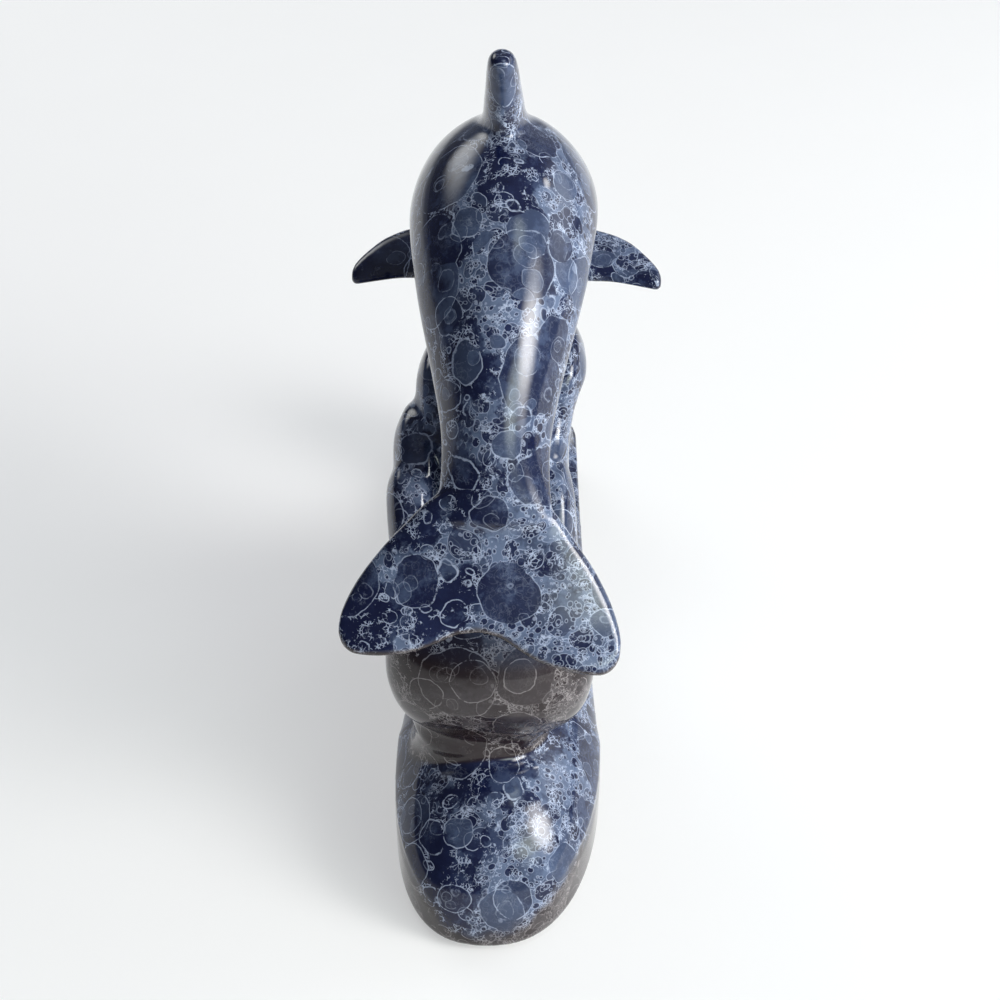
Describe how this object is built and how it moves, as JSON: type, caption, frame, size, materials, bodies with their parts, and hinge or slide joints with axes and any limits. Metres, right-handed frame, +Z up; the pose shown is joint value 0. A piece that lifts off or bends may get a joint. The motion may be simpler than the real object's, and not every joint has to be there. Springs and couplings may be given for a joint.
{
  "type": "dolphin candle holder",
  "caption": "Glazed ceramic taper candle holder: a dolphin leaps over a curling wave on a long rounded base with a candle cup at its far end.",
  "frame": {"origin": "on the surface the holder stands on, under the middle of its overall box", "axes": "+Z up, +Y the way the dolphin leaps, towards the candle cup, +X to the right of someone behind its tail"},
  "size_m": [0.071, 0.183, 0.1767],
  "materials": {
    "glaze": "glossy cobalt bubble glaze: deep blue with pale lace-like bubble rings",
    "felt": "short dark felt"
  },
  "bodies": {
    "root": {"base_mound": "glaze", "felt_pad": "felt", "wave_column": "glaze", "rear_swell": "glaze", "wave_crest_left_high": "glaze", "wave_crest_left_middle": "glaze", "wave_crest_left_low": "glaze", "wave_crest_right_high": "glaze", "wave_crest_right_low": "glaze", "dolphin_body": "glaze", "dorsal_fin": "glaze", "pectoral_fin_left": "glaze", "pectoral_fin_right": "glaze", "tail_flukes": "glaze", "candle_cup": "glaze"}
  },
  "joints": []
}
